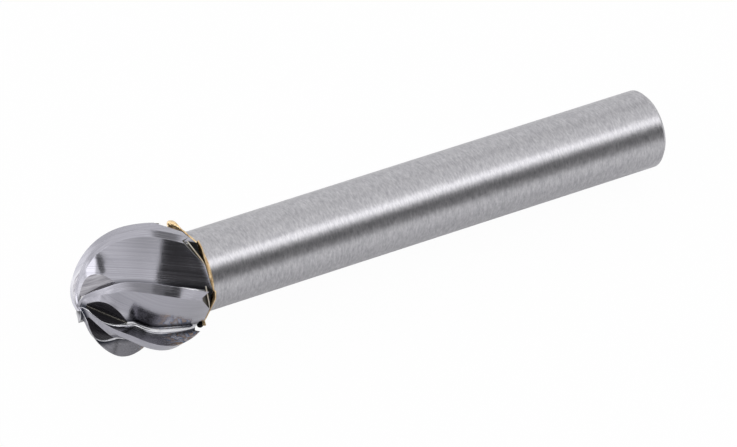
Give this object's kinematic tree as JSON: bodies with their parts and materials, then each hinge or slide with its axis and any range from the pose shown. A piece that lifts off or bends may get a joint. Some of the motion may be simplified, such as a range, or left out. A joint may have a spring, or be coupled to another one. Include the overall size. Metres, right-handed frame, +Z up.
{
  "type": "ball burr",
  "caption": "Rotary burr with a ball-shaped carbide head of coarse spiral cutting teeth, brazed to a plain round steel shank that a die grinder's collet clamps.",
  "frame": {"origin": "on the floor, under the middle of the tool as it lies on the floor", "axes": "+X from the ball to the shank's free end, +Z up; the tool's own axis falls about two degrees towards +X, because the ball is wider than the shank"},
  "size_m": [0.0492, 0.01, 0.0092],
  "materials": {
    "carbide": "tungsten carbide, diamond-ground satin faces with polished rakes",
    "braze": "flowed silver solder, gold-coloured, uneven",
    "shank_steel": "hardened steel, centreless ground"
  },
  "bodies": {
    "root": {"carbide_head": "carbide", "braze_joint": "braze", "steel_shank": "shank_steel"}
  },
  "joints": []
}
